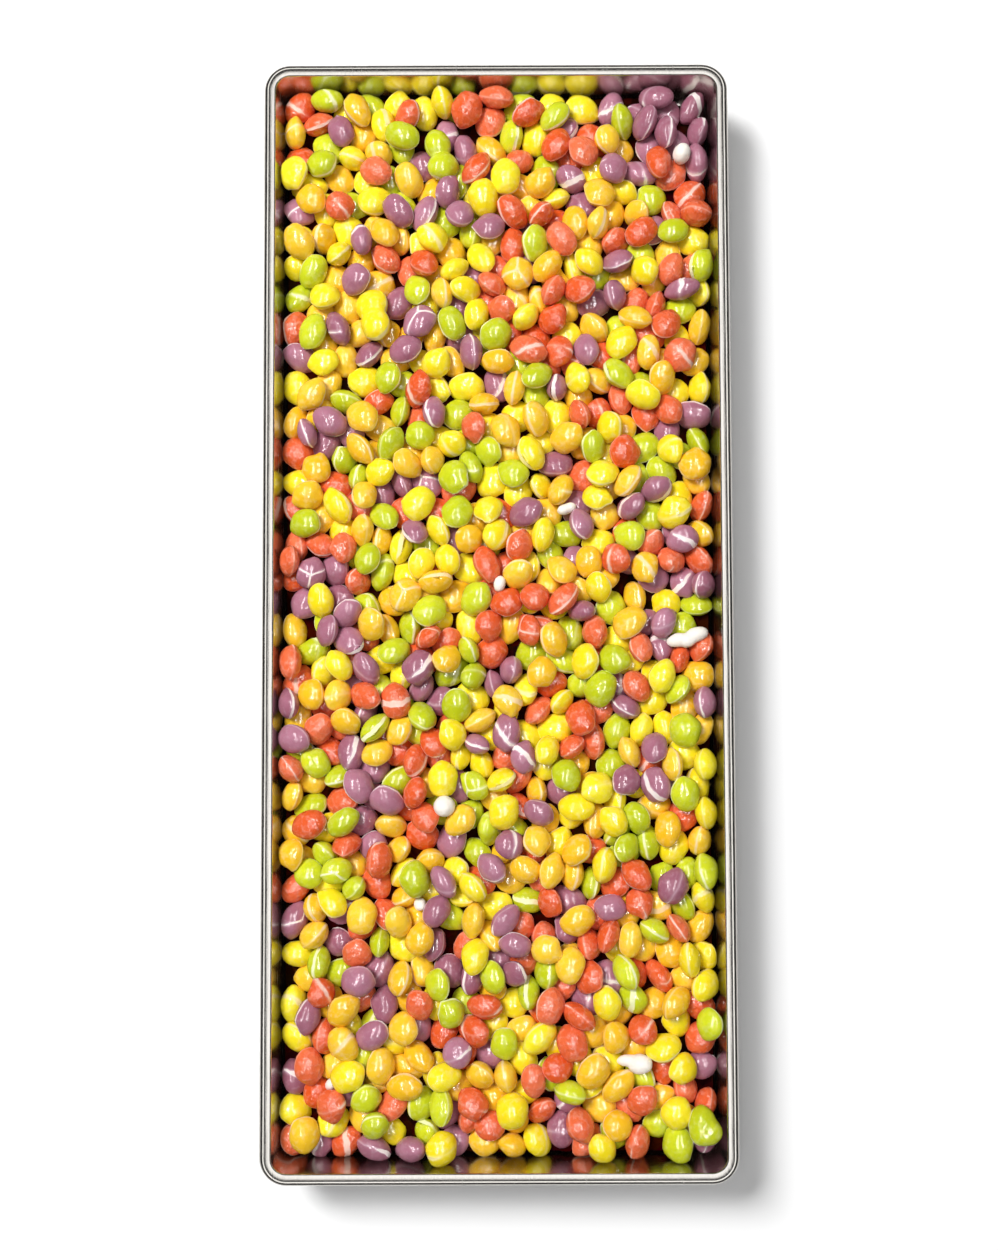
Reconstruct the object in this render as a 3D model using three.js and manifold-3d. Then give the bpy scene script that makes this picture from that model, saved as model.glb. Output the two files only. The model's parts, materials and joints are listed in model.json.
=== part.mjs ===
// A long stainless steel freeze-dryer tray, filled almost to its rolled rim with
// freeze-dried, hard-shelled, lentil-shaped fruit candies.
//
// Millimetres. +Z is up, +Y runs along the tray, and the origin is the centre of the tray's underside.
//
// The tray is one pressed sheet with leaning walls and a rolled rim. The candies are one heap: a core
// up to the candies' middles, with the top layer of candies and the spilled bits of filling fused on.

import * as THREE from "three";
import { mergeVertices } from "three/addons/utils/BufferGeometryUtils.js";
import Module from "manifold-3d";

const wasm = await Module();
wasm.setup();

// Tray, measured over the rolled rim.
const trayLength = 455;
const trayWidth = 191.5;
const trayHeight = 19;
const sheet = 0.8;
const rimWidth = 5;
const rimHeight = 3.4;
const rimCornerRadius = 11; // outside of the rim, in plan
const wallLean = 1.8; // how far a wall comes in from the rim down to the floor
const floorFillet = 3.2; // inside radius between wall and floor
const leastCornerRadius = 0.8;
const cornerSteps = 5;
const filletSteps = 3;
const rimSteps = 8; // even, so that a point lies on the rim's outermost line

// Candies: lentils that swelled a little as they dried.
const candyDiameter = 13.8;
const candyThickness = 9.2;
const candySizeSpread = 0.08; // share by which one candy differs from the next
const heapClearance = 0.35; // between the heap and the tray
const heapTop = 16.5; // usual height of a candy's top
const heapSwell = 0.6; // slow rise and fall of the heap's surface
const swellLength = 108; // from one gentle hump to the next, along the tray
const swellWidth = 80; // and across it
const heapRoughness = 1.3; // how much lower than its neighbours a candy may sit
const coreDepth = 4.4; // the core's flat top lies this far under the candies' tops
const candyPitch = 12.6; // between neighbours in a row
const candyScatter = 1.6; // how far a candy may lie from its place in the row
const mostTilt = 0.75; // radians
const randomSeed = 20260;

// A low-sided lentil is a six-sided double pyramid. It is drawn a little over size, so that its
// flat faces lie about as far out as the round ones of the candy.
const lentilSides = 6;
const lentilWiden = 1.03;
const lentilThicken = 1.14;

// Bits of white filling that oozed out and lie on the candies: place, length, width and direction in plan.
const fillingSink = 3; // the middle of a bit lies this far under the candies' tops
const fillingWiden = 1.2; // a bit is drawn over size in plan, because its ends come to a point
const fillingBits = [
  { x: 83.2, y: -9, long: 14, wide: 4.4, turn: 1.25 },
  { x: 74.6, y: 190, long: 6.4, wide: 5.6, turn: 0.4 },
  { x: -29, y: -77, long: 6.2, wide: 5.8, turn: 0 },
  { x: -3, y: 16, long: 6, wide: 5, turn: 0.9 },
  { x: 61.5, y: -179, long: 11, wide: 4.8, turn: -0.35 },
  { x: 34.5, y: 48, long: 6.4, wide: 4.6, turn: -0.3 },
  { x: -67.5, y: -194.5, long: 5.6, wide: 4.8, turn: 1.1 },
  { x: -35, y: -128, long: 6, wide: 5.4, turn: 0.2 },
];

const weldDistance = 1e-4; // corners nearer to each other than this are one

// A small linear congruential generator, so that the same seed always gives the same heap.
const randomStates = 2 ** 32;
const randomFactor = 1664525;
const randomStep = 1013904223;
let randomState = randomSeed;
function random(low, high) {
  randomState = (randomState * randomFactor + randomStep) % randomStates;
  return low + (high - low) * (randomState / randomStates);
}

// The plan outline of the tray, drawn in from the rim's outer edge and set at one height.
function outline(inset, height) {
  const radius = Math.max(rimCornerRadius - inset, leastCornerRadius);
  const centreX = trayWidth / 2 - inset - radius;
  const centreY = trayLength / 2 - inset - radius;
  const points = [];
  for (let corner = 0; corner < 4; corner++) {
    const sideX = corner === 0 || corner === 3 ? 1 : -1;
    const sideY = corner < 2 ? 1 : -1;
    for (let step = 0; step <= cornerSteps; step++) {
      const angle = ((corner + step / cornerSteps) * Math.PI) / 2;
      points.push([
        sideX * centreX + radius * Math.cos(angle),
        sideY * centreY + radius * Math.sin(angle),
        height,
      ]);
    }
  }
  return points;
}

// A closed body lofted through plan outlines, with a flat cap on the first and the last.
// The section is a list of [inset, height] and runs from the lower cap to the upper one.
function loft(section) {
  const rings = section.map(([inset, height]) => outline(inset, height));
  const count = rings[0].length;
  const lastRing = (rings.length - 1) * count;
  const lowerCentre = rings.length * count;
  const upperCentre = lowerCentre + 1;
  const positions = [
    ...rings.flat(),
    [0, 0, section[0][1]],
    [0, 0, section[section.length - 1][1]],
  ].flat();
  const index = [];
  for (let i = 0; i < count; i++) {
    const next = (i + 1) % count;
    for (let ring = 0; ring < lastRing; ring += count) {
      index.push(ring + i, ring + next, ring + count + next);
      index.push(ring + i, ring + count + next, ring + count + i);
    }
    index.push(lowerCentre, next, i);
    index.push(upperCentre, lastRing + i, lastRing + next);
  }
  const geometry = new THREE.BufferGeometry();
  geometry.setAttribute("position", new THREE.Float32BufferAttribute(positions, 3));
  geometry.setIndex(index);
  return geometry;
}

// Points [inset, height] along an arc in the tray's section.
function arc(inset, height, radiusIn, radiusUp, from, to, steps) {
  const curve = new THREE.EllipseCurve(inset, height, radiusIn, radiusUp, from, to, to < from);
  return curve.getPoints(steps).map((point) => [point.x, point.y]);
}

const floorTop = sheet;
const wallTop = trayHeight - sheet;
const wallFoot = floorTop + floorFillet;
const wallTopInset = rimWidth;
const wallFootInset = rimWidth + wallLean;

// How far in the wall's inner face lies at a height.
function wallInset(height) {
  const share = Math.max(0, (wallTop - height) / (wallTop - wallFoot));
  return wallTopInset + wallLean * share;
}

// Up the outside, round the rolled rim, and down the inside to the floor.
function traySection() {
  const outerFillet = floorFillet + sheet;
  const footOutside = wallFootInset - sheet;
  const rimRadius = rimHeight / 2;
  return [
    ...arc(footOutside + outerFillet, outerFillet, outerFillet, outerFillet,
      Math.PI * 1.5, Math.PI, filletSteps),
    [wallTopInset - sheet, trayHeight - rimHeight + sheet],
    ...arc(rimRadius, trayHeight - rimRadius, rimRadius, rimRadius,
      Math.PI * 1.5, Math.PI / 2, rimSteps),
    ...arc(wallTopInset - sheet, wallTop, sheet, sheet, Math.PI / 2, 0, 2),
    ...arc(wallFootInset + floorFillet, wallFoot, floorFillet, floorFillet,
      Math.PI, Math.PI * 1.5, filletSteps),
  ];
}

// The core of the heap fills the tray, a little clear of it, up to the middles of the top candies.
function coreSection() {
  const bottom = floorTop + heapClearance;
  const top = heapTop - coreDepth;
  return [
    [wallFootInset + floorFillet + heapClearance, bottom],
    [wallFootInset + heapClearance, wallFoot],
    [wallInset(top) + heapClearance, top],
  ];
}

// A closed geometry with nothing but its corners, each of them once.
function welded(geometry) {
  geometry.deleteAttribute("normal");
  geometry.deleteAttribute("uv");
  return mergeVertices(geometry, weldDistance);
}

function lentil() {
  const radius = (candyDiameter / 2) * lentilWiden;
  return welded(new THREE.SphereGeometry(1, lentilSides, 2))
    .rotateX(Math.PI / 2)
    .scale(radius, radius, (candyThickness / 2) * lentilThicken);
}

// Height of the candies' tops at a place, before each candy's own sinking.
function surfaceHeight(x, y) {
  const along = Math.sin((2 * Math.PI * y) / swellLength);
  const across = Math.cos((2 * Math.PI * x) / swellWidth);
  return heapTop + (heapSwell * (along + across)) / 2;
}

// Moves a turned piece so that it tops out at a height and stays clear of the walls.
function settle(geometry, x, y, top) {
  geometry.computeBoundingBox();
  const box = geometry.boundingBox;
  const lowest = top - (box.max.z - box.min.z);
  const inset = wallInset(lowest) + heapClearance;
  const limitX = trayWidth / 2 - inset;
  const limitY = trayLength / 2 - inset;
  return geometry.translate(
    THREE.MathUtils.clamp(x, -limitX - box.min.x, limitX - box.max.x),
    THREE.MathUtils.clamp(y, -limitY - box.min.y, limitY - box.max.y),
    top - box.max.z,
  );
}

// The top layer: staggered rows of lentils, each a little out of line, turned and tilted its own way.
function candies() {
  const base = lentil();
  const rowPitch = (candyPitch * Math.sqrt(3)) / 2;
  const reachX = trayWidth / 2 - wallInset(heapTop) - heapClearance - candyDiameter / 2;
  const reachY = trayLength / 2 - wallInset(heapTop) - heapClearance - candyDiameter / 2;
  const columns = Math.floor((2 * reachX) / candyPitch) + 1;
  const rows = Math.floor((2 * reachY) / rowPitch) + 1;
  const pitchX = (2 * reachX) / (columns - 1);
  const pitchY = (2 * reachY) / (rows - 1);
  const made = [];
  for (let row = 0; row < rows; row++) {
    const inRow = columns - (row % 2);
    for (let column = 0; column < inRow; column++) {
      const x = (column - (inRow - 1) / 2) * pitchX + random(-0.5, 0.5) * candyScatter;
      const y = (row - (rows - 1) / 2) * pitchY + random(-0.5, 0.5) * candyScatter;
      const size = 1 + random(-0.5, 0.5) * candySizeSpread;
      const candy = base
        .clone()
        .scale(size, size, size)
        .rotateZ(random(0, Math.PI))
        .rotateX(random(0, mostTilt))
        .rotateZ(random(0, 2 * Math.PI));
      const top = surfaceHeight(x, y) - random(0, heapRoughness);
      made.push(settle(candy, x, y, top));
    }
  }
  return made;
}

// A bit of filling is a small faceted log, half sunk into the candies under it.
function fillingLog({ x, y, long, wide, turn }) {
  const log = welded(new THREE.OctahedronGeometry(0.5))
    .rotateZ(Math.PI / 4)
    .scale(long * fillingWiden, wide * fillingWiden, wide)
    .rotateZ(turn);
  return settle(log, x, y, surfaceHeight(x, y) + wide / 2 - fillingSink);
}

function solidOf(geometry) {
  return new wasm.Manifold(
    new wasm.Mesh({
      numProp: 3,
      vertProperties: geometry.attributes.position.array,
      triVerts: new Uint32Array(geometry.index.array),
    }),
  );
}

function geometryOf(solid) {
  const mesh = solid.getMesh();
  const geometry = new THREE.BufferGeometry();
  geometry.setAttribute("position", new THREE.Float32BufferAttribute(mesh.vertProperties, 3));
  geometry.setIndex(new THREE.Uint32BufferAttribute(mesh.triVerts, 1));
  return geometry;
}

// Joins solids two by two, which is quicker than adding each one to an ever larger solid.
function joined(solids) {
  if (solids.length === 1) return solids[0];
  const half = Math.floor(solids.length / 2);
  return joined(solids.slice(0, half)).add(joined(solids.slice(half)));
}

function heap() {
  const pieces = [loft(coreSection()), ...candies(), ...fillingBits.map(fillingLog)];
  return geometryOf(joined(pieces.map(solidOf)));
}

function piece(name, geometry, material) {
  const mesh = new THREE.Mesh(geometry, material);
  mesh.name = name;
  return mesh;
}

const stainlessSteel = new THREE.MeshStandardMaterial({
  color: 0xc8c9c8,
  metalness: 1,
  roughness: 0.28,
});
const sugarShell = new THREE.MeshStandardMaterial({
  color: 0xe9a82c,
  metalness: 0,
  roughness: 0.3,
});

const filledTray = new THREE.Group();
filledTray.add(piece("tray", loft(traySection()), stainlessSteel));
filledTray.add(piece("candy_heap", heap(), sugarShell));

export default filledTray;
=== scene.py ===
# Looks for a long steel tray of freeze-dried, hard-shelled, lentil-shaped candies.
# Metres, +Z up, +Y along the tray, origin under the middle of the tray.
import json
import math
import random

import bmesh
import bpy
from mathutils import Matrix, Quaternion, Vector, noise

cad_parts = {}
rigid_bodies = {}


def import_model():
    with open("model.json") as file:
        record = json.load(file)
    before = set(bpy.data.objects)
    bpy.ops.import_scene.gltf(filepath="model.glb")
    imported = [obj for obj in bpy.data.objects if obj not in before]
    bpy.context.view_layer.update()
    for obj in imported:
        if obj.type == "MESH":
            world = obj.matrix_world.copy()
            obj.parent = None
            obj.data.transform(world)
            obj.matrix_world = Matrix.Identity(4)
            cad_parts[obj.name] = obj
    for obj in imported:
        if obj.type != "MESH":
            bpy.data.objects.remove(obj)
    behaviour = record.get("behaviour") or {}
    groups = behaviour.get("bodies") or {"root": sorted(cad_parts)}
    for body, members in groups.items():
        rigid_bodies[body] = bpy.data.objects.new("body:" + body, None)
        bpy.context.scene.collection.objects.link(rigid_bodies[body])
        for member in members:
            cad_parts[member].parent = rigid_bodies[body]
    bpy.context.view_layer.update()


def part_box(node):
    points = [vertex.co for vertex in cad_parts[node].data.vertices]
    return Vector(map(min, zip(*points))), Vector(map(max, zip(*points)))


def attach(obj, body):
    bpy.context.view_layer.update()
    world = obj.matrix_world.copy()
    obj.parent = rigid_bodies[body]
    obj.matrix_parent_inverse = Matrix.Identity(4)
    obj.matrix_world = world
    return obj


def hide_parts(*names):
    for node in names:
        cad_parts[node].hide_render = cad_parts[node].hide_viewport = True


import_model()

scene = bpy.context.scene
mm = 0.001
up = Vector((0, 0, 1))
trayLow, trayHigh = (Vector(corner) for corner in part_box("tray"))


def linear(hexColour):
    # sRGB hex to the linear values that the shaders take
    parts = [int(hexColour[i:i + 2], 16) / 255 for i in (1, 3, 5)]
    parts = [c / 12.92 if c <= 0.04045 else ((c + 0.055) / 1.055) ** 2.4 for c in parts]
    return (*parts, 1.0)


def addNode(tree, kind, settings=None, inputs=None):
    # one node: its properties, and for each input a value or the socket that is linked to it
    node = tree.nodes.new(kind)
    for name, value in (settings or {}).items():
        setattr(node, name, value)
    for key, value in (inputs or {}).items():
        if isinstance(value, bpy.types.NodeSocket):
            tree.links.new(value, node.inputs[key])
        else:
            node.inputs[key].default_value = value
    return node


def newMaterial(name):
    material = bpy.data.materials.new(name)
    material.use_nodes = True
    material.node_tree.nodes.clear()
    return material, material.node_tree


def finishMaterial(tree, shader):
    addNode(tree, "ShaderNodeOutputMaterial", inputs={"Surface": shader.outputs[0]})


pieceNames = []


def addPiece(name, bm, materials, replaced):
    mesh = bpy.data.meshes.new(name)
    bm.to_mesh(mesh)
    bm.free()
    for material in materials:
        mesh.materials.append(material)
    piece = bpy.data.objects.new(name, mesh)
    scene.collection.objects.link(piece)
    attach(piece, "root")
    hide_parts(replaced)
    pieceNames.append(name)
    return piece


# The camera looks almost straight down on the tray.
view = {
    "place": (0.9 * mm, -23.0 * mm, 482.1 * mm),
    "tilt": 2.295,  # degrees from straight down
    "roll": -0.185,
    "lens": 33.0,  # millimetres
    "sensor": 36.0,  # millimetres, the picture's long side
    "nearest": 0.01,
}
cameraData = bpy.data.cameras.new("camera")
cameraData.lens = view["lens"]
cameraData.sensor_width = view["sensor"]
cameraData.clip_start = view["nearest"]
camera = bpy.data.objects.new("camera", cameraData)
camera.location = view["place"]
camera.rotation_euler = (math.radians(view["tilt"]), 0.0, math.radians(view["roll"]))
scene.collection.objects.link(camera)
scene.camera = camera
print("camera placed")

# Tray: one pressed steel sheet with leaning walls and a rolled rim.
tray = {
    "sheet": 0.8 * mm,
    "rimWidth": 5.0 * mm,
    "rimHeight": 3.4 * mm,
    "rimCornerRadius": 11.0 * mm,  # outside of the rim, in plan
    "creaseInset": 2.05 * mm,  # the fold line beside the rim's rolled edge
    "creaseWidth": 0.32 * mm,
    "creaseDepth": 0.06 * mm,
    "wallLean": 1.8 * mm,  # how far a wall comes in from the rim down to the floor
    "floorFillet": 3.2 * mm,
    "leastCornerRadius": 0.8 * mm,
    "clearance": 0.05 * mm,  # between the sheet and what lies on it
    "cornerSteps": 12,
    "filletSteps": 6,
    "rimSteps": 14,
    "edgeSteps": 5,
}
trayHalf = (trayHigh - trayLow) / 2
floorTop = tray["sheet"]
wallTop = trayHigh.z - tray["sheet"]
wallFoot = floorTop + tray["floorFillet"]
wallFootInset = tray["rimWidth"] + tray["wallLean"]


def insideTray(spot):
    # the nearest point that is clear of the floor, the fillet and the walls
    spot.z = max(spot.z, floorTop + tray["clearance"])
    if spot.z < wallFoot:
        fillet = tray["floorFillet"]
        inset = wallFootInset + fillet - math.sqrt(fillet ** 2 - (wallFoot - spot.z) ** 2)
    else:
        share = max(0.0, (wallTop - spot.z) / (wallTop - wallFoot))
        inset = tray["rimWidth"] + tray["wallLean"] * share
    inset += tray["clearance"]
    corner = max(tray["rimCornerRadius"] - inset, tray["leastCornerRadius"])
    middle = spot.xy
    for i in range(2):
        reach = trayHalf[i] - inset - corner
        middle[i] = max(-reach, min(reach, middle[i]))
    past = spot.xy - middle
    if past.length > corner:
        spot.xy = middle + past.normalized() * corner
    return spot


# Candy forms: lentils that swelled and cracked as they dried.
candy = {
    "diameter": 13.0 * mm,
    "thickness": 9.1 * mm,
    "sizeSpread": 0.08,  # share by which one form differs from the next
    "longSpread": 0.42,  # how much longer than wide a form may be
    "longRare": 1.5,  # above 1, most forms are nearly round
    "flatSpread": (0.9, 1.08),
    "seamSharpness": 1.12,  # 1 is an ellipse from the side, more is sharper at the seam
    "lobe": 0.024,  # unevenness of the outline
    "corners": (0, 1, 1, 2),  # how many blunt corners a form may have
    "cornerRise": (0.06, 0.19),
    "cornerSpread": (0.22, 0.42),  # radians
    "lump": 0.06,  # unevenness all over
    "lumpScale": 1.6,
    "smallLump": 0.35,  # share of the lumps
    "smallLumpScale": 4.0,
    "forms": 26,
    "around": 24,
    "upright": 12,
}


def noisePlace(rng):
    # where in the endless noise a form's lumps are taken from
    return Vector([rng.uniform(-50, 50) for _ in range(3)])


def makeForm(rng):
    grow = 1.0 + rng.uniform(-1, 1) * candy["sizeSpread"]
    longer = 1.0 + rng.uniform(0, 1) ** candy["longRare"] * candy["longSpread"]
    form = {
        "half": Vector((
            candy["diameter"] / 2 * grow * longer ** 0.5,
            candy["diameter"] / 2 * grow / longer ** 0.5,
            candy["thickness"] / 2 * grow * rng.uniform(*candy["flatSpread"]),
        )),
        "lobes": [(rng.uniform(0.3, 1) * candy["lobe"], rng.uniform(0, math.tau)) for _ in range(4)],
        "corners": [],
        "lumpPlace": noisePlace(rng),
        "point": candyPoint,
        "finer": 1,
        "meshes": {},
    }
    for _ in range(rng.choice(candy["corners"])):
        angle = rng.uniform(0, math.tau)
        rise = rng.uniform(*candy["cornerRise"])
        form["corners"].append((angle, rise, rng.uniform(*candy["cornerSpread"])))
    return form


def candyPoint(way, form):
    # where a point of the unit sphere comes to lie on the candy; the seam is the equator
    angle = math.atan2(way.y, way.x)
    breadth = math.hypot(way.x, way.y)
    outline = 0.0
    for fold, (amount, phase) in enumerate(form["lobes"], start=2):
        outline += amount * math.cos(fold * angle + phase)
    for at, amount, spread in form["corners"]:
        away = (angle - at + math.pi) % math.tau - math.pi
        outline += amount * math.exp(-((away / spread) ** 2))
    outline = 1.0 + outline * breadth ** 2
    rise = math.copysign(abs(way.z) ** candy["seamSharpness"], way.z)
    lump = 1.0 + candy["lump"] * noise.noise(way * candy["lumpScale"] + form["lumpPlace"])
    small = noise.noise(way * candy["smallLumpScale"] + form["lumpPlace"])
    lump += candy["lump"] * candy["smallLump"] * small
    half = form["half"]
    return Vector((way.x * outline * half.x, way.y * outline * half.y, rise * half.z)) * lump


# Cracks. Half widths and depths are shares of the candy's radius, reach is how far a crack runs to
# either side of its widest place, in radians, and tilt turns one that crosses the face. A plain
# candy has only its seam's low ridge, a belt is a seam open all the way round, and a clam gapes on
# one side.
crackKinds = {
    "plain": {"half": 0.09, "depth": -0.012, "even": 0.24},
    "seam": {"half": 0.1, "depth": 0.01, "reach": (1.8, 3.4), "wobble": 0.22},
    "belt": {"half": 0.14, "depth": 0.04, "reach": 6.0, "wobble": 0.12},
    "clam": {"half": 0.25, "depth": 0.02, "reach": (1.2, 1.9), "wobble": 0.06},
    "band": {"half": 0.1, "depth": 0.03, "reach": (1.4, 2.4), "wobble": 0.22, "tilt": 0.3},
    "wide": {"half": 0.17, "depth": 0.02, "reach": (1.9, 3.2), "wobble": 0.1, "tilt": 0.2},
}
branches = {
    "half": 0.055,
    "depth": 0.03,
    "arms": (2, 3, 3),
    "offCentre": (0.1, 0.35),
    "narrowest": 0.3,  # share of the full width
    "lowest": -0.2,  # how far down the side an arm runs, 0 is the seam
}
crackEdge = {
    "meander": 0.3,  # shares of the half width
    "smallMeander": 0.22,
    "paleBeside": 0.6,  # how pale the shell is beside the narrowest crack
    "fillingFrom": 0.28,  # share of the full width from which the filling shows
    "narrowest": 0.1,
}


def cutCrack(bm, normal, half, along=None):
    # two cuts side by side round the sphere, or only on the side that along points to
    def reached(spot):
        return along is None or spot.dot(along) > 0.0

    for offset in (half, -half, 0.0):
        faces = [face for face in bm.faces if reached(face.calc_center_median())]
        edges = {edge for face in faces for edge in face.edges}
        corners = {vert for face in faces for vert in face.verts}
        bmesh.ops.bisect_plane(
            bm, geom=faces + list(edges) + list(corners), dist=1e-5,
            plane_co=normal * offset, plane_no=normal,
        )
    for vert in bm.verts:
        vert.co.normalize()
    between = []
    for face in bm.faces:
        middle = face.calc_center_median()
        if abs(middle.dot(normal)) < half * 0.98 and reached(middle):
            between.append(face)
    return between


def openCrack(bm, faces, normal, half, wide, depth, pale):
    # wide gives the crack's share of its full width at a direction and its angle round the candy
    across = normal.orthogonal().normalized()
    onward = normal.cross(across)
    phase = normal.x * 9 + normal.y * 5

    def meander(angle):
        bend = crackEdge["meander"] * math.sin(3 * angle + phase)
        return half * (bend + crackEdge["smallMeander"] * math.sin(7 * angle - 2 * phase))

    verts = {vert for face in faces for vert in face.verts}
    for vert in verts:
        offset = vert.co.dot(normal)
        angle = math.atan2(vert.co.dot(onward), vert.co.dot(across))
        share = wide(vert.co, angle)
        edge = math.copysign(half * share, offset) if abs(offset) > half * 0.5 else 0.0
        vert.co += normal * (edge + meander(angle) - offset)
        vert.co.normalize()
        if not edge:
            vert.co *= 1.0 - depth * min(1.0, share)
        vert[pale] = max(vert[pale], min(1.0, crackEdge["paleBeside"] + share))
    for face in faces:
        middle = face.calc_center_median()
        share = wide(middle, math.atan2(middle.dot(onward), middle.dot(across)))
        if share > crackEdge["fillingFrom"]:
            face.material_index = 1


def taper(rng, centre, reach, wobble):
    # a crack that is widest at one place and pinches shut on the way round
    phase = rng.uniform(0, math.tau)

    def wide(way, angle):
        away = abs((angle - centre + math.pi) % math.tau - math.pi)
        share = max(0.0, 1.0 - (away / reach) ** 2)
        uneven = 1.0 + wobble * math.sin(angle * 5 + phase) + wobble * math.sin(angle * 11 - phase)
        return max(crackEdge["narrowest"], share ** 0.6 * uneven)

    return wide


def aimPole(bm, way):
    turn = up.rotation_difference(way).to_matrix()
    bmesh.ops.rotate(bm, cent=(0, 0, 0), matrix=turn, verts=bm.verts)


def branchCandy(bm, flatWay, rng, pale):
    # cracks that meet on the face and run down between two columns of the sphere
    centre = (up + flatWay * rng.uniform(*branches["offCentre"])).normalized()
    aimPole(bm, centre)
    side = up.rotation_difference(centre) @ Vector((1, 0, 0))
    step, third = math.tau / candy["around"], candy["around"] // 3
    columns = [0, third + rng.choice([-1, 0, 1]), 2 * third + rng.choice([-1, 0, 1])]

    def wide(way, angle):
        least = branches["narrowest"]
        return least + (1 - least) * max(0, way.dot(centre))

    for column in columns[:rng.choice(branches["arms"])]:
        arm = Quaternion(centre, column * step) @ side
        normal = centre.cross(arm).normalized()
        faces = cutCrack(bm, normal, branches["half"], arm)
        faces = [face for face in faces if face.calc_center_median().dot(centre) > branches["lowest"]]
        openCrack(bm, faces, normal, branches["half"], wide, branches["depth"], pale)


def crackCandy(bm, kind, rng, pale):
    # the sphere is turned so that a crack runs along its equator, or down from its pole
    start = rng.uniform(-math.pi, math.pi)
    flatWay = Vector((math.cos(start), math.sin(start), 0.0))
    if kind == "branched":
        branchCandy(bm, flatWay, rng, pale)
        return
    crack = crackKinds[kind]
    normal, half = up, crack["half"]
    if "tilt" in crack:
        normal = (flatWay + up * rng.uniform(-crack["tilt"], crack["tilt"])).normalized()
    if "reach" in crack:
        reach = crack["reach"]
        if isinstance(reach, tuple):
            reach = rng.uniform(*reach)
        wide = taper(rng, start, reach, crack["wobble"])
    else:
        def wide(way, angle):
            return crack["even"]

    aimPole(bm, normal)
    openCrack(bm, cutCrack(bm, normal, half), normal, half, wide, crack["depth"], pale)


def newCandyMesh():
    bm = bmesh.new()
    layers = {
        "local": bm.verts.layers.float_vector.new("local"),
        "pale": bm.verts.layers.float.new("pale"),
        "draw": bm.verts.layers.float.new("draw"),
    }
    return bm, layers


def fineCandy(form, kind, rng):
    bm, layers = newCandyMesh()
    finer = form["finer"]
    bmesh.ops.create_uvsphere(
        bm, u_segments=candy["around"] * finer, v_segments=candy["upright"] * finer, radius=1.0)
    crackCandy(bm, kind, rng, layers["pale"])
    bmesh.ops.dissolve_degenerate(bm, dist=1e-4, edges=bm.edges)
    for vert in bm.verts:
        length = vert.co.length
        vert.co = form["point"](vert.co.normalized(), form) * length
        vert[layers["local"]] = vert.co / mm
    for face in bm.faces:
        face.smooth = True
    for edge in bm.edges:
        edge.smooth = len({face.material_index for face in edge.link_faces}) == 1
    mesh = bpy.data.meshes.new("form")
    bm.to_mesh(mesh)
    bm.free()
    return mesh


def coarseCandy(form, enlarge):
    bm = bmesh.new()
    bmesh.ops.create_uvsphere(bm, u_segments=10, v_segments=6, radius=1.0)
    for vert in bm.verts:
        vert.co = form["point"](vert.co.normalized(), form) * enlarge
    mesh = bpy.data.meshes.new("coarse form")
    bm.to_mesh(mesh)
    bm.free()
    return mesh


# The candies are poured into the tray, shaken level, and the ones that stand too high are taken off.
pour = {
    "candies": 975,
    "seed": 20,
    "enlarge": 100.0,  # the solver is at its best with things about a metre across
    "pitch": 14.6 * mm,
    "wallGap": 0.55,  # of a candy's diameter, between the wall and the nearest middle
    "jitter": 0.4,  # millimetres
    "layerShift": 3 * mm,
    "layerRise": 15.0 * mm,
    "firstLayer": 9.0 * mm,
    "fallFrames": 50,
    "shakeFrames": 50,
    "restFrames": 40,
    "shake": 3.2,  # sideways pull at its strongest, in metres per second squared
    "shakeStep": 5,  # frames from one key of the pull to the next
    "swing": 2.1,  # radians that the pull turns in one step
    "highest": 19.4 * mm,  # of a candy's top
    "friction": 0.35,
    "trayFriction": 0.3,
    "slowing": 0.15,
    "turnSlowing": 0.25,
    "margin": 0.005,
    "substeps": 5,
    "iterations": 10,
}
formRng = random.Random(pour["seed"])
forms = [makeForm(formRng) for _ in range(candy["forms"])]
for form in forms:
    form["coarse"] = coarseCandy(form, pour["enlarge"])
print("candy forms made:", len(forms))


def startBodies():
    bpy.ops.rigidbody.world_add()
    world = scene.rigidbody_world
    world.collection = bpy.data.collections.new("bodies")
    scene.collection.children.link(world.collection)
    world.substeps_per_frame = pour["substeps"]
    world.solver_iterations = pour["iterations"]
    return world


def endBodies(world):
    for body in list(world.collection.objects):
        bpy.data.objects.remove(body)
    bpy.data.collections.remove(world.collection)
    bpy.ops.rigidbody.world_remove()
    scene.animation_data_clear()
    scene.gravity = (0.0, 0.0, -9.81)
    scene.frame_set(1)


def addBox(world, size, place, turn):
    bm = bmesh.new()
    bmesh.ops.create_cube(bm, size=1.0)
    bmesh.ops.scale(bm, vec=Vector(size) * pour["enlarge"], verts=bm.verts)
    mesh = bpy.data.meshes.new("box")
    bm.to_mesh(mesh)
    bm.free()
    box = bpy.data.objects.new("box", mesh)
    box.location = Vector(place) * pour["enlarge"]
    box.rotation_mode = "QUATERNION"
    box.rotation_quaternion = turn
    world.collection.objects.link(box)
    box.rigid_body.type = "PASSIVE"
    box.rigid_body.collision_shape = "CONVEX_HULL"
    box.rigid_body.friction = pour["trayFriction"]
    box.rigid_body.use_margin = True
    box.rigid_body.collision_margin = 0.0


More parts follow.
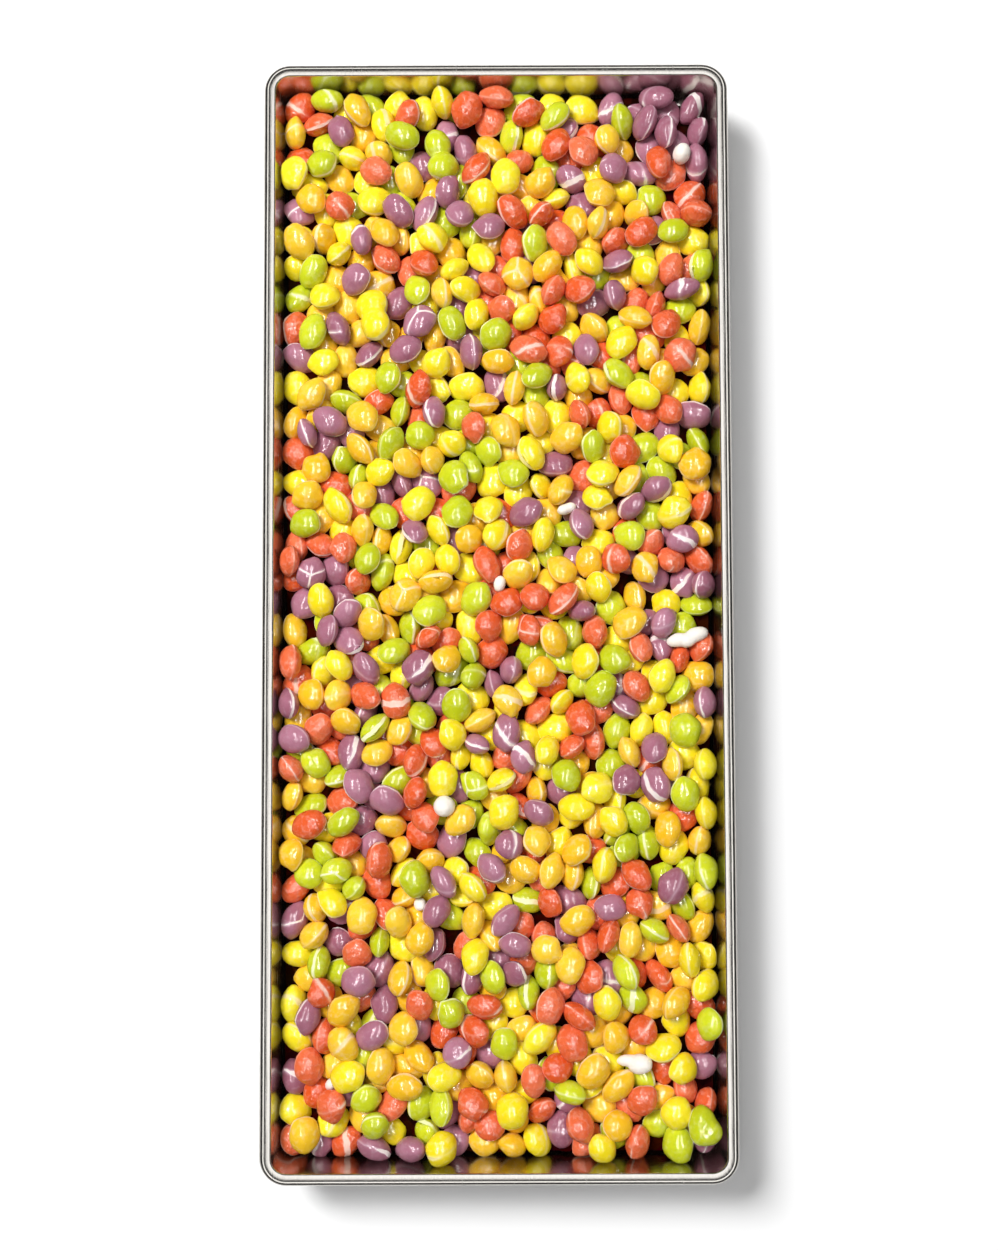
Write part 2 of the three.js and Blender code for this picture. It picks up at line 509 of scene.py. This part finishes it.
def addTrayBodies(world):
    # the floor, and for each side its leaning wall and a slope where the floor turns up
    thick, tall, reach, slopeThick = 20 * mm, 140 * mm, 500 * mm, 10 * mm
    addBox(world, (reach, reach, thick), (0, 0, floorTop - thick / 2), Quaternion())
    lean = math.atan2(tray["wallLean"], wallTop - wallFoot)
    for outward in (Vector((1, 0, 0)), Vector((-1, 0, 0)), Vector((0, 1, 0)), Vector((0, -1, 0))):
        axis = up.cross(outward)
        foot = outward * (abs(outward.dot(trayHalf)) - wallFootInset) + up * wallFoot
        turn = Quaternion(axis, lean)
        size = Vector([thick if outward[i] else reach for i in range(2)] + [tall])
        addBox(world, size, foot + turn @ (outward * thick / 2 + up * tall * 0.4), turn)
        turn = Quaternion(axis, -math.pi / 4)
        slope = foot + (-outward - up) * tray["floorFillet"] / 2
        size = Vector([slopeThick if outward[i] else reach for i in range(2)] + [slopeThick])
        addBox(world, size, slope - turn @ up * 5 * mm, turn)


def addBody(world, mesh, place, turn, active=True):
    body = bpy.data.objects.new("body", mesh)
    body.location = place * pour["enlarge"]
    body.rotation_mode = "QUATERNION"
    body.rotation_quaternion = turn
    world.collection.objects.link(body)
    solid = body.rigid_body
    solid.type = "ACTIVE" if active else "PASSIVE"
    solid.collision_shape = "CONVEX_HULL"
    solid.mass = 1.0
    solid.friction = pour["friction"]
    solid.restitution = 0.0
    solid.linear_damping = pour["slowing"]
    solid.angular_damping = pour["turnSlowing"]
    solid.use_margin = True
    solid.collision_margin = pour["margin"]
    return body


def runBodies(world, frames):
    world.point_cache.frame_start = 1
    world.point_cache.frame_end = frames
    for number in range(1, frames + 1):
        scene.frame_set(number)


def restingPlaces(bodies):
    depsgraph = bpy.context.evaluated_depsgraph_get()
    places = []
    for body in bodies:
        place = body.evaluated_get(depsgraph).matrix_world.copy()
        place.translation /= pour["enlarge"]
        places.append(place)
    return places


def randomTurn(rng):
    turn = Quaternion([rng.gauss(0, 1) for _ in range(4)])
    turn.normalize()
    return turn


def pourCandies():
    rng = random.Random(pour["seed"] + 1)
    world = startBodies()
    addTrayBodies(world)
    inside = [trayHalf[i] - wallFootInset - candy["diameter"] * pour["wallGap"] for i in range(2)]
    columns = int(2 * inside[0] / pour["pitch"]) + 1
    rows = int(2 * inside[1] / (pour["pitch"] * math.sqrt(0.75))) + 1
    bodies, used = [], []
    layer = 0
    while len(bodies) < pour["candies"]:
        cells = [(column, row) for row in range(rows) for column in range(columns - row % 2)]
        rng.shuffle(cells)
        for column, row in cells[:pour["candies"] - len(bodies)]:
            x = (column - (columns - 1 - row % 2) / 2) * pour["pitch"]
            y = (row - (rows - 1) / 2) * pour["pitch"] * math.sqrt(0.75)
            x += rng.uniform(-pour["jitter"], pour["jitter"]) * mm
            y += rng.uniform(-pour["jitter"], pour["jitter"]) * mm
            x += pour["layerShift"] if layer % 2 else -pour["layerShift"]
            x = max(-inside[0], min(inside[0], x))
            z = pour["firstLayer"] + layer * pour["layerRise"] + rng.uniform(0, 0.5) * mm
            form = forms[rng.randrange(len(forms))]
            bodies.append(addBody(world, form["coarse"], Vector((x, y, z)), randomTurn(rng)))
            used.append(form)
        layer += 1
    first, last = pour["fallFrames"], pour["fallFrames"] + pour["shakeFrames"]
    for number in range(first, last + 1, pour["shakeStep"]):
        fade = math.sin(math.pi * (number - first) / (last - first))
        swing = (number - first) / pour["shakeStep"] * pour["swing"]
        pull = pour["shake"] * fade
        scene.gravity = (pull * math.cos(swing), pull * math.sin(swing * 0.7), -9.81)
        scene.keyframe_insert("gravity", frame=number)
    runBodies(world, last + pour["restFrames"])
    places = restingPlaces(bodies)
    endBodies(world)
    return list(zip(used, places))


def topOf(form, place):
    turn = place.to_3x3()
    rise = max((turn @ vert.co).z for vert in form["coarse"].vertices)
    return place.translation.z + rise / pour["enlarge"]


poured = pourCandies()
candies = [(form, place) for form, place in poured if topOf(form, place) < pour["highest"]]
print("candies poured:", len(poured), "left in the tray:", len(candies))

# Candies that grew together and bits of bare filling, dropped on top: place in the tray, turn in
# degrees, and the middle and half sizes of each lobe, all in millimetres.
grown = [
    {"colour": "yellow", "place": (-48.4, 127.0), "turn": 94, "clear": 9.0,
     "lobes": [((4.7, 0.0, 0.0), (6.9, 7.0, 5.2)), ((-5.0, 0.0, 0.0), (7.2, 6.2, 5.0)),
               ((0.0, 0.0, 0.0), (4.0, 4.2, 3.8))]},
    {"colour": "green", "place": (-30.5, 197.4), "turn": 87, "clear": 9.0,
     "lobes": [((4.6, -0.6, 0.0), (6.4, 5.6, 4.8)), ((-4.9, 0.0, 0.0), (5.9, 6.8, 5.0))]},
    {"colour": "green", "place": (84.6, -207.2), "turn": 100, "clear": 7.0,
     "lobes": [((1.0, 1.4, 0.0), (6.6, 5.4, 4.8)), ((-1.8, -2.0, 0.4), (4.8, 4.8, 4.2)),
               ((-3.2, 1.4, 0.0), (4.4, 4.4, 4.2))]},
    {"colour": "filling", "place": (80.0, -8.0), "turn": 66, "clear": 8.0,
     "lobes": [((4.4, 1.0, 0.0), (4.7, 3.0, 2.9)), ((-4.0, 0.8, 0.0), (4.3, 2.8, 2.8)),
               ((0.0, -0.3, 0.0), (4.0, 3.0, 2.9))]},
    {"colour": "filling", "place": (61.5, -179.0), "turn": -8, "clear": 5.0,
     "lobes": [((1.8, -0.4, 0.0), (5.0, 3.9, 3.6)), ((-3.2, 1.2, 0.2), (4.4, 2.2, 2.2))]},
    {"colour": "filling", "place": (74.6, 190.0), "turn": 20, "clear": 4.0,
     "lobes": [((0.0, 0.0, 0.0), (4.3, 4.1, 3.6))]},
    {"colour": "filling", "place": (-29.0, -77.0), "turn": 0, "clear": 4.0,
     "lobes": [((0.0, 0.0, 0.0), (4.5, 4.3, 4.2))]},
    {"colour": "filling", "place": (-3.0, 16.0), "turn": 50, "clear": 0.0,
     "lobes": [((0.0, 0.0, 0.0), (3.3, 2.7, 2.4))]},
    {"colour": "filling", "place": (34.5, 48.0), "turn": -18, "clear": 3.0,
     "lobes": [((1.0, 0.0, 0.0), (3.2, 2.5, 2.2)), ((-1.4, 0.4, 0.0), (2.4, 2.2, 2.1))]},
    {"colour": "filling", "place": (-67.5, -194.5), "turn": 85, "clear": 0.0,
     "lobes": [((0.0, 0.0, 0.0), (3.1, 2.3, 2.2))]},
    {"colour": "filling", "place": (-35.0, -128.0), "turn": 10, "clear": 0.0,
     "lobes": [((0.0, 0.0, 0.0), (3.1, 2.5, 2.3))]},
]
drop = {
    "height": 25.0 * mm,
    "frames": 45,
    "undisturbed": 8.0 * mm,  # candies whose middle is lower than this aren't taken away
    "blend": 7,  # higher is a sharper crease between two lobes
    "lump": 0.05,
    "lumpScale": 2.5,
}


def grownPoint(way, form):
    # lobes that grew together: the farthest of their surfaces, rounded out where they meet
    total = 0.0
    for place, half in form["lobes"]:
        ray = Vector([way[i] / half[i] for i in range(3)])
        off = Vector([place[i] / half[i] for i in range(3)])
        inside = ray.dot(off) ** 2 - ray.dot(ray) * (off.dot(off) - 1.0)
        if inside > 0.0:
            total += max(0.0, (ray.dot(off) + math.sqrt(inside)) / ray.dot(ray)) ** drop["blend"]
    lump = 1.0 + drop["lump"] * noise.noise(way * drop["lumpScale"] + form["lumpPlace"])
    return way * total ** (1 / drop["blend"]) * lump * mm


def makeGrown(item, rng):
    return {
        "lobes": item["lobes"],
        "lumpPlace": noisePlace(rng),
        "point": grownPoint,
        "finer": 2,
        "meshes": {},
    }


def clearedOf(item, places):
    # the candies without those on top where the item comes to lie
    turn = Matrix.Rotation(math.radians(item["turn"]), 3, "Z")
    middles = [Vector((*item["place"], 0)) + turn @ Vector(lobe[0]) for lobe in item["lobes"]]
    kept = []
    for form, place in places:
        spot = place.translation / mm
        near = min(math.hypot(spot.x - middle.x, spot.y - middle.y) for middle in middles)
        if near > item["clear"] or place.translation.z < drop["undisturbed"]:
            kept.append((form, place))
    return kept


def dropGrown(lying, dropped):
    world = startBodies()
    addTrayBodies(world)
    for form, place in lying:
        addBody(world, form["coarse"], place.translation, place.to_quaternion(), active=False)
    bodies = []
    for item, form in dropped:
        place = Vector((item["place"][0] * mm, item["place"][1] * mm, drop["height"]))
        turn = Quaternion(up, math.radians(item["turn"]))
        bodies.append(addBody(world, form["coarse"], place, turn))
    runBodies(world, drop["frames"])
    places = restingPlaces(bodies)
    endBodies(world)
    return places


grownRng = random.Random(pour["seed"] + 3)
grownForms = [makeGrown(item, grownRng) for item in grown]
for item, form in zip(grown, grownForms):
    form["coarse"] = coarseCandy(form, pour["enlarge"])
    candies = clearedOf(item, candies)
grownPlaces = dropGrown(candies, list(zip(grown, grownForms)))
print("grown together or bare:", len(grown), "candies left:", len(candies))

# Colours: how many of a hundred candies have each, the shell's colours, how strong its ripples are,
# how many there are to a millimetre and how much pale dust lies along them, and how many of a
# hundred candies have each kind of crack.
shells = {
    "yellow": {
        "share": 20, "deep": "#f6dc1c", "main": "#fcee30", "pale": "#fff3a0",
        "wrinkle": 0.22, "ripple": 0.4, "dust": 0.4,
        "cracks": {
            "plain": 24, "seam": 44, "belt": 8, "clam": 9, "band": 10, "wide": 2, "branched": 3},
    },
    "orange": {
        "share": 25, "deep": "#f4bc22", "main": "#fdd23a", "pale": "#ffe6a6",
        "wrinkle": 0.24, "ripple": 0.4, "dust": 0.4,
        "cracks": {
            "plain": 30, "seam": 42, "belt": 6, "clam": 7, "band": 11, "wide": 1, "branched": 3},
    },
    "red": {
        "share": 19, "deep": "#dc5624", "main": "#ee7850", "pale": "#f6b09a",
        "wrinkle": 0.6, "ripple": 0.45, "dust": 0.45,
        "cracks": {
            "plain": 38, "seam": 38, "belt": 3, "clam": 4, "band": 11, "wide": 1, "branched": 5},
    },
    "green": {
        "share": 18, "deep": "#bcc61c", "main": "#d8e02c", "pale": "#eef4ae",
        "wrinkle": 0.16, "ripple": 0.4, "dust": 0.25,
        "cracks": {
            "plain": 22, "seam": 40, "belt": 8, "clam": 10, "band": 12, "wide": 3, "branched": 5},
    },
    "purple": {
        "share": 18, "deep": "#9c6072", "main": "#b87e92", "pale": "#e2c4d0",
        "wrinkle": 0.18, "ripple": 0.5, "dust": 0.2,
        "cracks": {
            "plain": 16, "seam": 30, "belt": 7, "clam": 12, "band": 17, "wide": 10, "branched": 8},
    },
}


def shellMaterial(name, look):
    # Polished hard sugar shell, panned and then blown up in the freeze dryer: a waxed gloss with
    # sharp highlights, paler where the shell stretched thin beside a crack, and faint ripples with a
    # bloom of sugar dust.
    material, tree = newMaterial(name)
    local = addNode(tree, "ShaderNodeAttribute", {"attribute_name": "local"})
    pale = addNode(tree, "ShaderNodeAttribute", {"attribute_name": "pale"})
    draw = addNode(tree, "ShaderNodeAttribute", {"attribute_name": "draw"})
    # the local attribute is in millimetres, so a scale of 0.25 gives patches about 4 mm wide, and
    # 0.4 ripples about 2.5 mm apart
    patches = addNode(tree, "ShaderNodeTexNoise", inputs={
        "Vector": local.outputs["Vector"], "Scale": 0.25, "Detail": 3.0, "Roughness": 0.6})
    ripples = addNode(tree, "ShaderNodeTexNoise", inputs={
        "Vector": local.outputs["Vector"], "Scale": look["ripple"], "Detail": 2.5, "Roughness": 0.55})
    tint = addNode(tree, "ShaderNodeMath", {"operation": "MULTIPLY_ADD", "use_clamp": True}, {
        0: draw.outputs["Fac"], 1: 0.55, 2: patches.outputs["Fac"]})
    depth = addNode(tree, "ShaderNodeMapRange", inputs={
        "Value": tint.outputs[0], "From Min": 0.35, "From Max": 0.95})
    base = addNode(tree, "ShaderNodeMix", {"data_type": "RGBA"}, {
        "Factor": depth.outputs["Result"], 6: linear(look["main"]), 7: linear(look["deep"])})
    rim = addNode(tree, "ShaderNodeMath", {"operation": "POWER"}, {0: pale.outputs["Fac"], 1: 2.2})
    thin = addNode(tree, "ShaderNodeMath", {"operation": "MULTIPLY", "use_clamp": True}, {
        0: rim.outputs[0], 1: 0.9})
    dust = addNode(tree, "ShaderNodeMapRange", inputs={
        "Value": ripples.outputs["Fac"], "From Min": 0.5, "From Max": 0.75, "To Max": look["dust"]})
    lighter = addNode(tree, "ShaderNodeMath", {"operation": "MAXIMUM"}, {
        0: thin.outputs[0], 1: dust.outputs[0]})
    colour = addNode(tree, "ShaderNodeMix", {"data_type": "RGBA"}, {
        "Factor": lighter.outputs[0], 6: base.outputs[2], 7: linear(look["pale"])})
    bump = addNode(tree, "ShaderNodeBump", inputs={
        "Strength": look["wrinkle"], "Distance": 1.2 * mm, "Height": ripples.outputs["Fac"]})
    gloss = addNode(tree, "ShaderNodeMapRange", inputs={
        "Value": patches.outputs["Fac"], "From Min": 0.3, "From Max": 0.7,
        "To Min": 0.11, "To Max": 0.18})
    shader = addNode(tree, "ShaderNodeBsdfPrincipled", inputs={
        "Base Color": colour.outputs[2], "Roughness": gloss.outputs["Result"], "IOR": 1.5,
        "Normal": bump.outputs["Normal"]})
    finishMaterial(tree, shader)
    return material


def fillingMaterial(name, tone, shade):
    # Freeze-dried sugar foam: dull, chalky off-white with pores of about 0.8 mm.
    material, tree = newMaterial(name)
    local = addNode(tree, "ShaderNodeAttribute", {"attribute_name": "local"})
    foam = addNode(tree, "ShaderNodeTexNoise", inputs={
        "Vector": local.outputs["Vector"], "Scale": 1.3, "Detail": 3.0, "Roughness": 0.7})
    colour = addNode(tree, "ShaderNodeMix", {"data_type": "RGBA"}, {
        "Factor": foam.outputs["Fac"], 6: linear(tone), 7: linear(shade)})
    bump = addNode(tree, "ShaderNodeBump", inputs={
        "Strength": 0.3, "Distance": 0.4 * mm, "Height": foam.outputs["Fac"]})
    shader = addNode(tree, "ShaderNodeBsdfPrincipled", inputs={
        "Base Color": colour.outputs[2], "Roughness": 0.6, "IOR": 1.45,
        "Normal": bump.outputs["Normal"]})
    finishMaterial(tree, shader)
    return material


fillings = {
    "yellow": ("#fff2b4", "#f4dc7c"),
    "orange": ("#ffe7b8", "#f3c987"),
    "red": ("#fbd9cc", "#eeb09c"),
    "green": ("#f7f8d0", "#e2e69c"),
    "purple": ("#fbf1ec", "#ecd9d6"),
    "white": ("#fbf6ee", "#efe6da"),
}

# Each colour is one piece, with the filling in its cracks; the bare bits of filling are another.
# The candies in one corner are all of one colour.
cluster = {"colour": "purple", "place": Vector((78.0, 205.0)) * mm, "reach": 17.0 * mm}
colourRng = random.Random(pour["seed"] + 2)
names = list(shells)
shares = [look["share"] for look in shells.values()]
heaps = {name: newCandyMesh()[0] for name in [*names, "filling"]}
counts = dict.fromkeys(heaps, 0)


def addCandy(name, form, crack, place):
    bm = heaps[name]
    if crack not in form["meshes"]:
        form["meshes"][crack] = fineCandy(form, crack, colourRng)
    copy = form["meshes"][crack].copy()
    copy.transform(place)
    start = len(bm.verts)
    bm.from_mesh(copy)
    bpy.data.meshes.remove(copy)
    bm.verts.ensure_lookup_table()
    draw = bm.verts.layers.float["draw"]
    number = colourRng.random()
    for vert in bm.verts[start:]:
        vert.co = insideTray(vert.co)
        vert[draw] = number
    counts[name] += 1


for form, place in candies:
    name = colourRng.choices(names, weights=shares)[0]
    if (place.translation.xy - cluster["place"]).length < cluster["reach"]:
        name = cluster["colour"]
    kinds = shells[name]["cracks"]
    crack = colourRng.choices(list(kinds), weights=list(kinds.values()))[0]
    addCandy(name, form, crack, place)
for item, form, place in zip(grown, grownForms, grownPlaces):
    addCandy(item["colour"], form, "plain" if item["colour"] == "filling" else "seam", place)
for name in names:
    materials = [
        shellMaterial(f"sugar_shell_{name}", shells[name]),
        fillingMaterial(f"sugar_foam_{name}", *fillings[name]),
    ]
    piece = addPiece(f"{name}_candies", heaps[name], materials, "candy_heap")
    print(name, "candies:", counts[name], "faces:", len(piece.data.polygons))
bare = fillingMaterial("sugar_foam_white", *fillings["white"])
piece = addPiece("filling_bits", heaps["filling"], [bare], "candy_heap")
print("filling bits:", counts["filling"], "faces:", len(piece.data.polygons))

# Core: the crumbs and broken shells at the bottom, seen only in the gaps between the candies; its warm
# near-black colour is painted shade.
core = {
    "top": 4.6 * mm,
    "rough": 1.6 * mm,
    "lumpSize": 6 * mm,
    "clear": 1.2 * mm,  # from the foot of the wall
    "cornerRadius": 22 * mm,
    "cell": 3.0 * mm,
}


def coreMesh():
    bm = bmesh.new()
    half = [trayHalf[i] - wallFootInset - core["clear"] for i in range(2)]
    segments = [round(2 * side / core["cell"]) for side in half]
    bmesh.ops.create_grid(bm, x_segments=segments[0], y_segments=segments[1], size=1.0)
    bmesh.ops.scale(bm, vec=(*half, 1.0), verts=bm.verts)
    outside = []
    for face in bm.faces:
        spot = face.calc_center_median()
        away = [abs(spot[i]) - half[i] + core["cornerRadius"] for i in range(2)]
        if min(away) > 0 and math.hypot(*away) > core["cornerRadius"]:
            outside.append(face)
    bmesh.ops.delete(bm, geom=outside, context="FACES")
    lower = bmesh.ops.extrude_face_region(bm, geom=list(bm.faces))["geom"]
    lower = {item for item in lower if isinstance(item, bmesh.types.BMVert)}
    for vert in bm.verts:
        lump = noise.noise(vert.co / core["lumpSize"])
        vert.co.z = floorTop if vert in lower else core["top"] + core["rough"] * lump
        vert.co = insideTray(vert.co)
    bmesh.ops.recalc_face_normals(bm, faces=bm.faces)
    return bm


def crumbsPaintedShadeMaterial():
    # Broken sugar shell and dust, dull and warm, each crumb tinted in a candy's colour, all near-black
    # as painted shade for the gaps between the candies.
    material, tree = newMaterial("sugar_crumbs_painted_shade")
    place = addNode(tree, "ShaderNodeTexCoord")
    # cells of about 4 mm
    crumbs = addNode(tree, "ShaderNodeTexVoronoi", inputs={
        "Vector": place.outputs["Object"], "Scale": 250.0})
    # a warm near-black with a quarter of each crumb's colour, then multiplied by a second near-black:
    # painted shade
    colour = addNode(tree, "ShaderNodeMix", {"data_type": "RGBA"}, {
        "Factor": 0.25, 6: linear("#5a140c"), 7: crumbs.outputs["Color"]})
    paintedShade = addNode(tree, "ShaderNodeMix", {"data_type": "RGBA", "blend_type": "MULTIPLY"}, {
        "Factor": 1.0, 6: colour.outputs[2], 7: linear("#5a2418")})
    shader = addNode(tree, "ShaderNodeBsdfPrincipled", inputs={
        "Base Color": paintedShade.outputs[2], "Roughness": 0.9, "Specular IOR Level": 0.0})
    finishMaterial(tree, shader)
    return material


addPiece("candy_core", coreMesh(), [crumbsPaintedShadeMaterial()], "candy_heap")


# The tray is lofted: one ring for each point of the sheet's section, drawn outwards and back in.
def ringPoint(index, inset, height):
    steps = tray["cornerSteps"]
    corner, step = divmod(index, steps + 1)
    angle = (corner + step / steps) * math.pi / 2
    radius = max(tray["rimCornerRadius"] - inset, tray["leastCornerRadius"])
    sideX = 1 if corner in (0, 3) else -1
    sideY = 1 if corner < 2 else -1
    return Vector((
        sideX * (trayHalf.x - inset - radius) + radius * math.cos(angle),
        sideY * (trayHalf.y - inset - radius) + radius * math.sin(angle),
        height,
    ))


def sectionArc(inset, height, radius, first, last, steps):
    # points of the tray's section along an arc, from one angle in degrees to another
    points = []
    for step in range(steps + 1):
        angle = math.radians(first + (last - first) * step / steps)
        points.append((inset + radius * math.cos(angle), height + radius * math.sin(angle)))
    return points


def traySection():
    # the sheet's outer face, from the middle of the floor up the wall and round the rolled rim
    sheet = tray["sheet"]
    fillet = tray["floorFillet"] + sheet
    rimRadius = tray["rimHeight"] / 2
    section = sectionArc(wallFootInset - sheet + fillet, fillet, fillet, 270, 180, tray["filletSteps"])
    section.append((tray["rimWidth"] - sheet, trayHigh.z - tray["rimHeight"] + sheet))
    section += sectionArc(rimRadius, trayHigh.z - rimRadius, rimRadius, 270, 90, tray["rimSteps"])
    for side, sunk in ((-0.5, 0.1), (0.0, 1.0), (0.5, 0.1)):
        inset = tray["creaseInset"] + side * tray["creaseWidth"]
        section.append((inset, trayHigh.z - sunk * tray["creaseDepth"]))
    section += sectionArc(tray["rimWidth"] - sheet, wallTop, sheet, 90, 0, tray["edgeSteps"])
    fillet = tray["floorFillet"]
    section += sectionArc(wallFootInset + fillet, wallFoot, fillet, 180, 270, tray["filletSteps"])
    return section


def trayMesh():
    bm = bmesh.new()
    count = 4 * (tray["cornerSteps"] + 1)
    ring = bmesh.ops.create_circle(bm, cap_ends=False, segments=count, radius=1.0)["verts"]
    section = traySection()
    ring = sorted(ring, key=lambda vert: math.atan2(vert.co.y, vert.co.x) % math.tau)
    for index, vert in enumerate(ring):
        vert.co = ringPoint(index, *section[0])
    firstEdges = list(bm.edges)
    edges = firstEdges
    for point in section[1:]:
        made = bmesh.ops.extrude_edge_only(bm, edges=edges)["geom"]
        moved = [item for item in made if isinstance(item, bmesh.types.BMVert)]
        edges = [item for item in made if isinstance(item, bmesh.types.BMEdge)]
        order = {vert: index for index, vert in enumerate(ring)}
        following = [None] * count
        for vert in moved:
            beside = [edge.other_vert(vert) for edge in vert.link_edges]
            partner = next(other for other in beside if other in order)
            following[order[partner]] = vert
        ring = following
        for index, vert in enumerate(ring):
            vert.co = ringPoint(index, *point)
    bmesh.ops.edgeloop_fill(bm, edges=edges)
    bmesh.ops.edgeloop_fill(bm, edges=firstEdges)
    bmesh.ops.recalc_face_normals(bm, faces=bm.faces)
    for face in bm.faces:
        face.smooth = True
    return bm


def steelMaterial():
    # Pressed stainless steel sheet, brushed along its length: bright on the rim and drawn-out,
    # soft reflections of the candies on the walls.
    material, tree = newMaterial("brushed_stainless_steel")
    place = addNode(tree, "ShaderNodeTexCoord")
    # lines about 0.6 mm apart, wider than the real ones so that they show, and 25 times as long
    stretch = addNode(tree, "ShaderNodeMapping", inputs={
        "Vector": place.outputs["Object"], "Scale": (1.0, 0.04, 1.0)})
    lines = addNode(tree, "ShaderNodeTexNoise", inputs={
        "Vector": stretch.outputs["Vector"], "Scale": 1800.0, "Detail": 3.0})
    bump = addNode(tree, "ShaderNodeBump", inputs={
        "Strength": 0.12, "Distance": 0.2 * mm, "Height": lines.outputs["Fac"]})
    rough = addNode(tree, "ShaderNodeMapRange", inputs={
        "Value": lines.outputs["Fac"], "From Min": 0.3, "From Max": 0.7,
        "To Min": 0.18, "To Max": 0.28})
    shader = addNode(tree, "ShaderNodeBsdfPrincipled", inputs={
        "Base Color": linear("#cac6c0"), "Metallic": 1.0, "Roughness": rough.outputs["Result"],
        "Normal": bump.outputs["Normal"]})
    finishMaterial(tree, shader)
    return material


trayPiece = addPiece("steel_tray", trayMesh(), [steelMaterial()], "tray")
print("tray made:", len(trayPiece.data.polygons), "faces")

# Floor, lights and surroundings. The floor has lights of its own, so that it comes out an even white
# without brightening the part.
studio = {
    "floorSize": 14.0,
    "overhead": (0, 0, 1.3),
    "stripHeight": 1.2,
    "stripApart": 0.74,
    "stripForward": 0.2,
    "surroundAbove": 0.025,  # how bright the room is overhead
    "surroundLevel": 0.5,  # and near the horizon
    "fadeFrom": 0.12,  # how steeply up the fade begins and ends, as a sine
    "fadeTo": 0.3,
}
bm = bmesh.new()
bmesh.ops.create_grid(bm, x_segments=1, y_segments=1, size=studio["floorSize"] / 2)
floorMesh = bpy.data.meshes.new("floor")
bm.to_mesh(floorMesh)
bm.free()
floor = bpy.data.objects.new("floor", floorMesh)
scene.collection.objects.link(floor)
material, tree = newMaterial("white_paper_sweep")
finishMaterial(tree, addNode(tree, "ShaderNodeBsdfPrincipled", inputs={
    "Base Color": linear("#e6e6e6"), "Roughness": 0.9, "Specular IOR Level": 0.0}))
floorMesh.materials.append(material)
floorOnly = bpy.data.collections.new("floor only")
floorOnly.objects.link(floor)
candiesOnly = bpy.data.collections.new("candies only")
trayOnly = bpy.data.collections.new("tray only")
for name in pieceNames:
    owner = trayOnly if name == trayPiece.name else candiesOnly
    owner.objects.link(scene.objects[name])


def addPanel(name, place, size, power, lit, aim=(0, 0, 0), shines=True, shades=True):
    # a flat light that faces its aim and lights only what is in one collection
    light = bpy.data.lights.new(name, "AREA")
    light.shape = "RECTANGLE"
    light.size, light.size_y = size
    light.energy = power
    panel = bpy.data.objects.new(name, light)
    panel.location = place
    panel.rotation_euler = (Vector(place) - Vector(aim)).to_track_quat("Z", "Y").to_euler()
    panel.visible_camera = False
    panel.visible_glossy = shines
    panel.visible_diffuse = shades
    panel.light_linking.receiver_collection = lit
    scene.collection.objects.link(panel)


panels = {
    "key": {"place": (-0.6, 0.5, 1.2), "size": (0.5, 0.5), "power": 22.0, "lit": candiesOnly},
    "side": {"place": (1.1, -0.2, 0.8), "size": (0.7, 1.2), "power": 3.6, "lit": candiesOnly},
    "overhead": {"place": studio["overhead"], "size": (0.9, 2.0), "power": 5.4, "lit": candiesOnly},
    "rim light": {"place": studio["overhead"], "size": (1.05, 2.0), "power": 11.5, "lit": trayOnly},
    "floor key": {"place": (-2.2, 2.1, 2.2), "size": (1.6, 1.6), "power": 270.0, "lit": floorOnly},
    "floor fill": {"place": (0.0, 0.0, 2.0), "size": (2.0, 2.0), "power": 22.0, "lit": floorOnly},
    "strip": {"size": (0.05, 1.5), "power": 16.0, "lit": candiesOnly},
}
for name in ("key", "side"):
    addPanel(name, **panels[name], shines=False)
for name in ("overhead", "rim light", "floor key", "floor fill"):
    addPanel(name, **panels[name])
for side in (-1, 1):
    # narrow tubes that are seen only as the twin streaks on the shells
    place = (side * studio["stripApart"] / 2, studio["stripForward"], studio["stripHeight"])
    below = (place[0], place[1], 0.0)
    addPanel("strip", place, **panels["strip"], aim=below, shades=False)
surround = bpy.data.worlds.new("surround")
scene.world = surround
surround.use_nodes = True
surround.node_tree.nodes.clear()
tree = surround.node_tree
way = addNode(tree, "ShaderNodeSeparateXYZ", inputs={
    "Vector": addNode(tree, "ShaderNodeTexCoord").outputs["Generated"]})
height = addNode(tree, "ShaderNodeMapRange", inputs={
    "Value": way.outputs["Z"], "From Min": studio["fadeFrom"], "From Max": studio["fadeTo"],
    "To Min": studio["surroundLevel"], "To Max": studio["surroundAbove"]})
glow = addNode(tree, "ShaderNodeBackground", inputs={
    "Color": linear("#ffffff"), "Strength": height.outputs["Result"]})
addNode(tree, "ShaderNodeOutputWorld", inputs={"Surface": glow.outputs[0]})
scene.view_settings.view_transform = "Standard"
print("studio lit")
